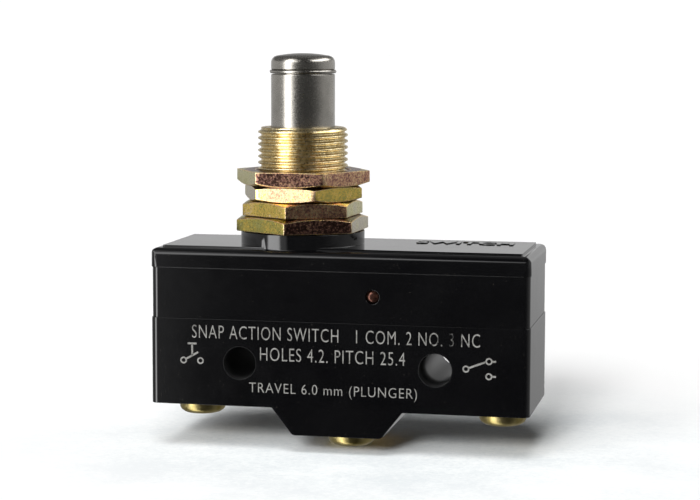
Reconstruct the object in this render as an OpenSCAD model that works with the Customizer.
// Panel-mount plunger limit switch: a snap-action basic switch in a three-part case, with a
// threaded bushing, an overtravel plunger, four panel nuts and three terminal screws underneath.
// Millimetres. The origin is midway between the two side mounting holes, at mid-thickness.
// +X runs along the case away from the plunger, +Y from the front face to the back, +Z up.

/* [Case] */
// Length of the case
case_l = 49.2; // [48.8:0.1:50]
// Thickness of the case
case_t = 17.45; // [17.2:0.05:18]
// Height of the base's underside below the hole line
base_below = 5.6; // [5.4:0.1:5.8]
// Height of the parting line between base and middle section above the hole line
base_above = 5.6; // [5.5:0.05:5.7]
// Height of the middle section
mid_h = 6.5; // [6.4:0.1:6.6]
// Height of the cover up to its edge
cover_h = 2.5; // [2.4:0.1:2.7]
// Height of the raised field on the cover
field_h = 0.25; // [0.15:0.05:0.35]
// How far the middle section stands back from the base and the cover
mid_inset = 0.1; // [0:0.05:0.2]
// Radius of the upright corners and of the cover's top edge
corner_r = 0.95; // [0.4:0.05:1.2]

/* [Terminal hump] */
// Depth of the hump under the base
hump_h = 3.47; // [3.3:0.01:3.8]
// Width of the hump where it meets the base
hump_top_w = 17; // [16:0.5:18]
// Width of the hump at its foot
hump_foot_w = 12.4; // [12:0.2:13]
// Radius of the hump's lower corners
hump_r = 0.8; // [0.3:0.1:1.2]

/* [Side mounting holes] */
// Distance between the two side holes
hole_spacing = 25.4; // [25:0.1:25.8]
// Diameter of the side holes
hole_d = 4.2; // [4:0.05:4.4]

/* [Bushing] */
// Distance of the plunger axis from the middle of the case
axis_x = -6.41; // [-7:0.01:-6]
// Diameter of the round boss on the cover
boss_d = 16.14; // [16:0.02:16.6]
// Height of the boss above the cover's edge
boss_h = 1.9; // [1.8:0.1:2.1]
// Thread diameter over the crests, 15/32 inch nominal
thread_d = 11.74; // [11.7:0.02:11.9]
// Height of the bushing above the boss
bushing_h = 13.48; // [13:0.02:15]
// Diameter of the plunger's guide bore
guide_d = 8.4; // [8.36:0.01:8.5]

/* [Plunger] */
// Diameter of the plunger
plunger_d = 8.3; // [8.24:0.01:8.34]
// Height of the plunger's dome above the bushing
plunger_above = 9.52; // [9.4:0.02:10]
// Height of the shallow dome on the plunger
dome_h = 0.9; // [0.7:0.1:1]
// Total travel of the plunger
travel = 6; // [5.5:0.1:6]

/* [Nuts] */
// Width across flats of the two panel nuts
panel_nut_af = 15.4; // [15:0.1:16]
// Width across flats of the two lock nuts
lock_nut_af = 14; // [13.8:0.1:14.4]
// Height of every nut
nut_h = 1.92; // [1.8:0.02:1.94]

/* [Terminals] */
// Diameter of the terminal screws' heads
screw_head_d = 6.1; // [5.8:0.1:6.4]
// Height of the terminal screws' heads
screw_head_h = 2; // [1.6:0.1:2.2]
// Diameter of the terminal screws' thread
screw_d = 3.5; // [3.4:0.05:3.6]
// Thickness of the lock washers
washer_t = 0.45; // [0.3:0.05:0.6]

/* [Hidden] */
$fn = 64;
// Overshoot of a cut past a face
eps = 0.5;
// Clearance between parts that are fixed together
gap = 0.05;

// Heights of the case's parting lines and top
z_mid = base_above;
z_cover = z_mid + mid_h;
z_edge = z_cover + cover_h;
z_boss = z_edge + boss_h;
z_bushing = z_boss + bushing_h;
z_tip = z_bushing + plunger_above;
z_hump = -base_below - hump_h;

// The mechanism's chamber
chamber_l = 46;
chamber_t = 12.8;
chamber_r = 0.6;
chamber_floor = 3;
// The raised floor under the common terminal's arm
step_z = 4.9;
step_x = -14;
// Locating pips on the middle section
pip_r = 0.6;
pip_h = 0.7;
pip_x = 18;
pip_y = 7.5;

// The snap blade's parts, by height
blade_z = 7.2;
blade_t = 0.25;
blade_root_x = -18;
contact_x = 15;
contact_r = 2.2;
contact_face_r = 1.9;
contact_h = 0.95;
contact_gap = 1.2;
contact_stem_r = 0.95;
strip_t = 0.8;
strip_w = 5;
nc_contact_z = blade_z + blade_t + contact_h + 0.03;
no_contact_z = blade_z - contact_h - contact_gap;
nc_arm_z = nc_contact_z + 0.97;
leg_w = 1.3;
leg_out = 3.2;
ear_x = -0.6;
leg_end_x = -0.4;
leg_root_x = 6.2;

// The plunger's inside
plunger_r = plunger_d / 2;
plunger_bore_r = 3;
plunger_foot = 19;
plunger_roof = 35.6;
retainer_z = 20.2;
retainer_h = 0.6;
retainer_r = 4.75;
retainer_seat_r = 3.7;
shoulder_z = retainer_z + retainer_h + 0.1;
snap_z = z_tip - 2.6;
snap_h = 0.5;
snap_r = 4.33;
snap_seat_r = 3.75;
snap_groove_h = 0.25;

// The pin's guide tube and the spring on the pin
well_z = 12.9;
well_r = 5;
tube_r = 2.7;
tube_top = 14.5;
stem_r = 1.7;
stem_hole_r = 1.75;
pin_tip_r = 0.8;
pin_collar_r = 2.6;
pin_top = 16.6;
cup_h = 0.8;
cup_r = 2.75;
nipple_r = 1.6;
nipple_h = 1.6;
coil_r = 2.35;
wire_r = 0.28;
coil_turns = 13;
coil_steps = 12;
coil_sides = 6;

// Plain cylinders stand for the thread: its crests where it is free, and inside the nuts its pitch
// radius, which is this much smaller
thread_drop = 0.18;
nut_pitch = 1.98;
z_nut = z_boss + 0.08;
z_free_thread = z_nut + 3 * nut_pitch + nut_h + 0.08;

// The bushing's flange, moulded into the boss
flange_z = 13.3;
flange_h = 2.7;
flange_r = 6.9;
barrel_bore_r = 4.9;
bushing_chamfer = 0.55;

// Terminals: where each screw stands and how high its plate lies
com_x = -20.1;
no_x = 0.15;
nc_x = 20.15;
plate_w = 6;
plate_l = 10;
plate_t = 1;
shank_l = 5.2;
riser_x = 22.1;
no_riser_x = 3.9;
no_arm_end = 17.2;

// ---------------------------------------------------------------- shared shapes
// A rectangle with round corners
module rounded_rect(l, w, r) {
  square([l - 2 * r, w], center = true);
  square([l, w - 2 * r], center = true);
  for (sx = [-1, 1], sy = [-1, 1])
    translate([sx * (l / 2 - r), sy * (w / 2 - r)]) circle(r);
}

// A block standing on z, with round upright corners
module block(l, w, r, z, h) {
  translate([0, 0, z]) linear_extrude(h) rounded_rect(l, w, r);
}

// A box from its lowest to its highest corner
module box(low, high) {
  translate(low) cube(high - low);
}

// A cylinder on the plunger's axis
module on_axis(z, h, r) {
  translate([axis_x, 0, z]) cylinder(h = h, r = r);
}

// An upright profile with two round top corners, pulled through the depth d
module arched(w, z0, z1, r, d) {
  rotate([90, 0, 0]) linear_extrude(d, center = true) union() {
    translate([-w / 2, z0]) square([w, z1 - z0 - r]);
    translate([-w / 2 + r, z0]) square([w - 2 * r, z1 - z0]);
    for (sx = [-1, 1])
      translate([sx * (w / 2 - r), z1 - r]) circle(r);
  }
}

// The two side holes, as cutters
module side_holes() {
  for (sx = [-1, 1])
    translate([sx * hole_spacing / 2, 0, 0]) rotate([90, 0, 0])
      cylinder(h = case_t + 2 * eps, d = hole_d, center = true);
}

// The pips that locate one case section in the next
module pips(z, h, r) {
  for (sx = [-1, 1], sy = [-1, 1])
    translate([sx * pip_x, sy * pip_y, z]) cylinder(h = h, r = r);
}

// The hump that lowers the middle terminal
module hump() {
  foot = hump_foot_w / 2 - hump_r;
  rotate([90, 0, 0]) linear_extrude(case_t, center = true) union() {
    polygon([[-hump_top_w / 2, -base_below], [-foot - hump_r * 0.85, z_hump + hump_r * 0.5],
             [-foot, z_hump], [foot, z_hump], [foot + hump_r * 0.85, z_hump + hump_r * 0.5],
             [hump_top_w / 2, -base_below], [hump_top_w / 2, -base_below + eps],
             [-hump_top_w / 2, -base_below + eps]]);
    for (sx = [-1, 1])
      translate([sx * foot, z_hump + hump_r]) circle(hump_r);
  }
}

// The pocket for a terminal's plate and the clear hole above its screw
module terminal_pocket(x, z, right_end) {
  box([x - plate_w / 2 - gap, -plate_l / 2 - gap, z - eps], [right_end + gap, plate_l / 2 + gap, z + plate_t]);
  translate([x, 0, z]) cylinder(h = shank_l + gap, d = screw_d + 1);
}

// ---------------------------------------------------------------- case
module base_case() color("#141416") difference() {
  union() {
    block(case_l, case_t, corner_r, -base_below, base_below + base_above);
    hump();
  }
  side_holes();
  // the chamber and the step under the common terminal
  box([step_x, -chamber_t / 2, chamber_floor], [chamber_l / 2, chamber_t / 2, z_mid + eps]);
  box([-chamber_l / 2, -chamber_t / 2, step_z], [step_x + eps, chamber_t / 2, z_mid + eps]);
  pips(z_mid - pip_h - gap, pip_h + gap + eps, pip_r + gap);
  terminal_pocket(com_x, -base_below, com_x + plate_w / 2);
  terminal_pocket(no_x, z_hump, no_riser_x + strip_t);
  terminal_pocket(nc_x, -base_below, nc_x + plate_w / 2);
  // slots for the terminals' risers
  riser_slot(-riser_x - strip_t, -base_below, step_z + eps);
  riser_slot(riser_x, -base_below, chamber_floor + eps);
  riser_slot(no_riser_x, z_hump, chamber_floor + eps);
}

// A slot that a terminal's riser passes through
module riser_slot(x, z0, z1) {
  box([x - gap, -strip_w / 2 - gap, z0], [x + strip_t + gap, strip_w / 2 + gap, z1]);
}

module middle_case() color("#161618") {
  l = case_l - 2 * mid_inset;
  t = case_t - 2 * mid_inset;
  difference() {
    block(l, t, corner_r, z_mid, mid_h);
    block(chamber_l, chamber_t, chamber_r, z_mid - eps, mid_h + 2 * eps);
    stop_pin_shape(case_t + 2 * eps, gap / 2);
  }
  pips(z_mid - pip_h, pip_h + gap, pip_r);
  pips(z_cover - gap, pip_h + gap, pip_r);
}

module top_cover() color("#18181a") difference() {
  union() {
    intersection() {
      arched(case_l, z_cover, z_edge, corner_r, case_t);
      rotate([0, 0, 90]) arched(case_t, z_cover, z_edge, corner_r, case_l);
      block(case_l, case_t, corner_r, z_cover, cover_h);
    }
    block(case_l - 2.5, case_t - 2.9, 0.3, z_edge - eps, field_h + eps);
    on_axis(z_edge - eps, boss_h + eps, boss_d / 2);
  }
  difference() {
    union() {
      on_axis(well_z, flange_z - well_z + gap, well_r);
      on_axis(flange_z, flange_h + gap, flange_r + gap);
      on_axis(z_boss - 1, 1 + eps, thread_d / 2 - thread_drop + gap);
    }
    on_axis(well_z - eps, tube_top - well_z + eps, tube_r);
  }
  on_axis(z_cover - eps, tube_top - z_cover + 2 * eps, stem_hole_r);
  pips(z_cover - eps, pip_h + gap + eps, pip_r + gap);
}

// ---------------------------------------------------------------- bushing and nuts
module panel_bushing() color("#c9a227") difference() {
  translate([axis_x, 0, 0]) rotate_extrude() polygon([
    [barrel_bore_r, flange_z], [flange_r, flange_z], [flange_r, flange_z + flange_h],
    [thread_d / 2 - thread_drop, flange_z + flange_h],
    [thread_d / 2 - thread_drop, z_free_thread], [thread_d / 2, z_free_thread],
    [thread_d / 2, z_bushing - bushing_chamfer],
    [thread_d / 2 - 0.65, z_bushing], [guide_d / 2, z_bushing],
    [guide_d / 2, shoulder_z], [barrel_bore_r, shoulder_z]]);
}

// A hex nut on the bushing: af across flats, corners at the angle turn, and the height of the
// chamfer on its lower and upper edge
module hex_nut(af, z, turn, low_chamfer, high_chamfer) {
  corner = af / sqrt(3);
  // past the flats' own radius the corners fall away at this slope
  reach = corner - af / 2 + 0.05;
  translate([axis_x, 0, z]) difference() {
    intersection() {
      rotate([0, 0, turn]) cylinder(h = nut_h, r = corner, $fn = 6);
      rotate_extrude() polygon([
        [0, 0], [corner + 0.1 - (low_chamfer > 0 ? reach : 0), 0], [corner + 0.1, low_chamfer],
        [corner + 0.1, nut_h - high_chamfer],
        [corner + 0.1 - (high_chamfer > 0 ? reach : 0), nut_h], [0, nut_h]]);
    }
    translate([0, 0, -eps]) cylinder(h = nut_h + 2 * eps, d = thread_d - 2 * thread_drop + 0.1);
  }
}

// The four nuts stand on each other, a little over a nut's height apart
module lower_panel_nut() color("#8f8a4a") hex_nut(panel_nut_af, z_nut, 27.5, 0, 0.45);
module lower_lock_nut() color("#b9a04a") hex_nut(lock_nut_af, z_nut + nut_pitch, 27.1, 0, 0.45);
module upper_lock_nut() color("#d6b85a") hex_nut(lock_nut_af, z_nut + 2 * nut_pitch, -5.8, 0.4, 0.3);
module upper_panel_nut() color("#8f8a4a") hex_nut(panel_nut_af, z_nut + 3 * nut_pitch, 0.3, 0.45, 0);

// ---------------------------------------------------------------- plunger
module plunger() color("#9a9a96") translate([axis_x, 0, 0]) difference() {
  union() {
    translate([0, 0, plunger_foot]) cylinder(h = z_tip - dome_h - plunger_foot, r = plunger_r);
    // the shallow dome is a cap of a sphere
    dome_r = (plunger_r * plunger_r + dome_h * dome_h) / (2 * dome_h);
    intersection() {
      translate([0, 0, z_tip - dome_r]) sphere(dome_r, $fn = 128);
      translate([0, 0, z_tip - dome_h]) cylinder(h = dome_h + eps, r = plunger_r);
    }
  }
  translate([0, 0, plunger_foot - eps]) cylinder(h = plunger_roof - plunger_foot + eps, r = plunger_bore_r);
  ring(retainer_z, retainer_h, retainer_seat_r, plunger_r + eps);
  ring(snap_z - snap_groove_h, snap_h + snap_groove_h, snap_seat_r, plunger_r + eps);
}

// A plain ring about the local Z axis
module ring(z, h, r_in, r_out) {
  translate([0, 0, z]) difference() {
    cylinder(h = h, r = r_out);
    translate([0, 0, -eps]) cylinder(h = h + 2 * eps, r = r_in);
  }
}

// A spring ring with a gap at the back
module split_ring(z, h, r_in, r_out, slot_w) {
  translate([axis_x, 0, 0]) difference() {
    ring(z, h, r_in, r_out);
    box([-slot_w / 2, 0, z - eps], [slot_w / 2, r_out + eps, z + h + eps]);
  }
}

module plunger_snap_ring() color("#b4b3ae")
  split_ring(snap_z, snap_h - 0.02, snap_seat_r + 0.02, snap_r, 1);

module plunger_retainer_ring() color("#8a8a86")
  split_ring(retainer_z + 0.02, retainer_h - 0.04, retainer_seat_r + 0.02, retainer_r, 1.4);

// Point s of n around section i of the spring's wire
function coil_point(i, s) =
  let (turn = 360 * i / coil_steps,
       around = 360 * s / coil_sides,
       rise = spring_h * i / (coil_steps * coil_turns),
       r = coil_r + wire_r * cos(around))
  [r * cos(turn), r * sin(turn), spring_z + rise + wire_r * sin(around)];

spring_z = pin_top + cup_h + wire_r + 0.02;
spring_h = plunger_roof - wire_r - 0.02 - spring_z;

module overtravel_spring() color("#a8a8a4") translate([axis_x, 0, 0]) {
  rings = coil_steps * coil_turns;
  points = [for (i = [0:rings], s = [0:coil_sides - 1]) coil_point(i, s)];
  sides = [for (i = [0:rings - 1], s = [0:coil_sides - 1])
    let (a = i * coil_sides + s, b = i * coil_sides + (s + 1) % coil_sides)
    [a, a + coil_sides, b + coil_sides, b]];
  start = [for (s = [0:coil_sides - 1]) s];
  finish = [for (s = [coil_sides - 1:-1:0]) rings * coil_sides + s];
  polyhedron(points, concat(sides, [start, finish]));
}

module spring_cup() color("#c9a227") {
  on_axis(pin_top, cup_h, cup_r);
  on_axis(pin_top + cup_h, nipple_h, nipple_r);
}

module actuating_pin() color("#7a2a1e") {
  on_axis(blade_z + blade_t + gap, z_cover - 1 - blade_z - blade_t, pin_tip_r);
  on_axis(z_cover - 1.1, 1.1 - gap, pin_collar_r);
  on_axis(z_cover - 1, pin_top - z_cover + 1, stem_r);
}

// ---------------------------------------------------------------- snap mechanism
module snap_blade() color("#b87333") {
  difference() {
    union() {
      box([blade_root_x - 1.5, -1.4, blade_z], [8, 1.4, blade_z + blade_t]);
      box([leg_root_x - 0.2, -leg_out, blade_z], [contact_x + 2.5, leg_out, blade_z + blade_t]);
    }
    translate([blade_root_x, 0, blade_z - eps]) cylinder(h = 2, r = 0.9);
    translate([contact_x, 0, blade_z - eps]) cylinder(h = 2, r = contact_stem_r + 0.02);
  }
  for (side = [-1, 1])
    translate([0, side * (leg_out - leg_w / 2), 0]) bowed_leg();
}

// One of the two bowed legs that push the blade's free end away from the anchor
module bowed_leg() {
  sag = 0.9;
  half = (leg_root_x - leg_end_x) / 2;
  bow_r = (half * half + sag * sag) / (2 * sag);
  rotate([90, 0, 0]) linear_extrude(leg_w, center = true) intersection() {
    translate([leg_end_x + half, blade_z + blade_t / 2 - sag + bow_r]) difference() {
      circle(bow_r + 0.1, $fn = 180);
      circle(bow_r - 0.1, $fn = 180);
    }
    translate([leg_end_x, blade_z - 2]) square([2 * half, 2 + blade_t]);
  }
}

module moving_contact() color("#d8d8d4") translate([contact_x, 0, 0]) {
  translate([0, 0, blade_z + blade_t]) cylinder(h = contact_h, r = contact_face_r);
  translate([0, 0, blade_z - 0.1]) cylinder(h = blade_t + 0.2, r = contact_stem_r);
  translate([0, 0, blade_z - contact_h]) cylinder(h = contact_h, r = contact_face_r);
}

// The bracket under the blade: a raised pad for the rivet and two ears for the bowed legs
module blade_anchor() color("#c9a227") difference() {
  union() {
    box([-21, -leg_out, step_z + strip_t], [ear_x - 0.4, leg_out, blade_z - 0.8]);
    box([blade_root_x - 1.6, -2, blade_z - 1], [blade_root_x + 0.4, 2, blade_z - 0.02]);
    for (side = [-1, 1])
      translate([0, side * (leg_out - leg_w / 2), 0])
        box([ear_x - 0.8, -leg_w / 2, blade_z - 1], [ear_x, leg_w / 2, blade_z + 0.7]);
  }
  translate([blade_root_x, 0, 0]) cylinder(h = 10, r = 0.8);
}

module blade_rivet() color("#c9a227") translate([blade_root_x, 0, 0]) {
  translate([0, 0, step_z]) cylinder(h = blade_z + blade_t - step_z + 0.1, r = 0.78);
  translate([0, 0, blade_z + blade_t + 0.06]) cylinder(h = 0.5, r = 1.5);
}

// The cross pin over the blade; its ends show on both faces of the middle section
stop_pin_x = 4.58;
stop_pin_z = 9.02;
module stop_pin_shape(l, extra) {
  translate([stop_pin_x, 0, stop_pin_z]) rotate([90, 0, 0]) cylinder(h = l, r = 0.875 + extra, center = true);
}
module blade_stop_pin() color("#7d5c48") stop_pin_shape(case_t - 2 * mid_inset - 0.2, 0);

// A fixed contact: its face at z, its stem running dir to the far side of the strip
module fixed_contact(z_low, z_high, stem_low) {
  translate([contact_x, 0, z_low]) cylinder(h = z_high - z_low, r = contact_r);
  translate([contact_x, 0, stem_low]) cylinder(h = strip_t + 0.1, r = contact_stem_r);
}

module nc_contact() color("#d8d8d4") fixed_contact(nc_contact_z, nc_arm_z, nc_arm_z - 0.1);
module no_contact() color("#d8d8d4") fixed_contact(chamber_floor + strip_t, no_contact_z, chamber_floor);

// ---------------------------------------------------------------- terminals
// The flat plate that a screw clamps a wire to
module terminal_plate(x, z, right_end) {
  box([x - plate_w / 2, -plate_l / 2, z], [right_end, plate_l / 2, z + plate_t]);
}

module screw_hole(x, z) {
  translate([x, 0, z - eps]) cylinder(h = plate_t + 2 * eps, d = screw_d + 0.1);
}

module com_terminal() color("#c9a227") difference() {
  union() {
    terminal_plate(com_x, -base_below, com_x + plate_w / 2);
    box([-riser_x - strip_t, -strip_w / 2, -base_below], [-riser_x, strip_w / 2, step_z + strip_t]);
    box([-riser_x - strip_t, -strip_w / 2, step_z], [blade_root_x + 3, strip_w / 2, step_z + strip_t]);
  }
  screw_hole(com_x, -base_below);
  translate([blade_root_x, 0, step_z - eps]) cylinder(h = 2, r = 0.8);
}

module no_terminal() color("#c9a227") difference() {
  union() {
    terminal_plate(no_x, z_hump, no_riser_x + strip_t);
    box([no_riser_x, -strip_w / 2, z_hump], [no_riser_x + strip_t, strip_w / 2, chamber_floor + strip_t]);
    box([no_riser_x, -strip_w / 2, chamber_floor], [no_arm_end, strip_w / 2, chamber_floor + strip_t]);
  }
  screw_hole(no_x, z_hump);
  translate([contact_x, 0, chamber_floor - eps]) cylinder(h = 2, r = contact_stem_r + 0.02);
}

module nc_terminal() color("#c9a227") difference() {
  union() {
    terminal_plate(nc_x, -base_below, nc_x + plate_w / 2);
    box([riser_x, -strip_w / 2, -base_below], [riser_x + strip_t, strip_w / 2, nc_arm_z + strip_t]);
    box([contact_x - 2.5, -strip_w / 2, nc_arm_z], [riser_x + strip_t, strip_w / 2, nc_arm_z + strip_t]);
  }
  screw_hole(nc_x, -base_below);
  translate([contact_x, 0, nc_arm_z - eps]) cylinder(h = 2, r = contact_stem_r + 0.02);
}

// The washer between a terminal's plate and its screw's head
module lock_washer(x, z) {
  translate([x, 0, 0]) difference() {
    ring(z - washer_t, washer_t - 0.02, screw_d / 2 + 0.1, screw_head_d / 2 - 0.05);
    box([0, -0.4, z - 2], [screw_head_d, 0.4, z + 1]);
  }
}

module com_lock_washer() color("#b8a060") lock_washer(com_x, -base_below);
module no_lock_washer() color("#b8a060") lock_washer(no_x, z_hump);
module nc_lock_washer() color("#b8a060") lock_washer(nc_x, -base_below);

// A pan-head screw driven in from below, with a cross recess
module terminal_screw(x, z) {
  head_r = screw_head_d / 2;
  head_z = z - washer_t - screw_head_h;
  edge = 0.7;
  translate([x, 0, 0]) difference() {
    union() {
      translate([0, 0, head_z]) rotate_extrude() polygon([
        [0, 0], [head_r - edge, 0], [head_r - edge / 4, edge / 2], [head_r, edge],
        [head_r, screw_head_h - 0.02], [0, screw_head_h - 0.02]]);
      translate([0, 0, z - washer_t - 0.1]) cylinder(h = shank_l, d = screw_d);
    }
    for (turn = [0, 90])
      translate([0, 0, head_z]) rotate([0, 0, turn]) cube([3.6, 0.8, 2.2], center = true);
  }
}

module com_terminal_screw() color("#c8a84a") terminal_screw(com_x, -base_below);
module no_terminal_screw() color("#c8a84a") terminal_screw(no_x, z_hump);
module nc_terminal_screw() color("#c8a84a") terminal_screw(nc_x, -base_below);

base_case();
middle_case();
top_cover();
panel_bushing();
plunger();
plunger_snap_ring();
plunger_retainer_ring();
overtravel_spring();
spring_cup();
actuating_pin();
snap_blade();
moving_contact();
blade_anchor();
blade_rivet();
blade_stop_pin();
nc_contact();
no_contact();
com_terminal();
no_terminal();
nc_terminal();
com_lock_washer();
no_lock_washer();
nc_lock_washer();
com_terminal_screw();
no_terminal_screw();
nc_terminal_screw();
lower_panel_nut();
lower_lock_nut();
upper_lock_nut();
upper_panel_nut();
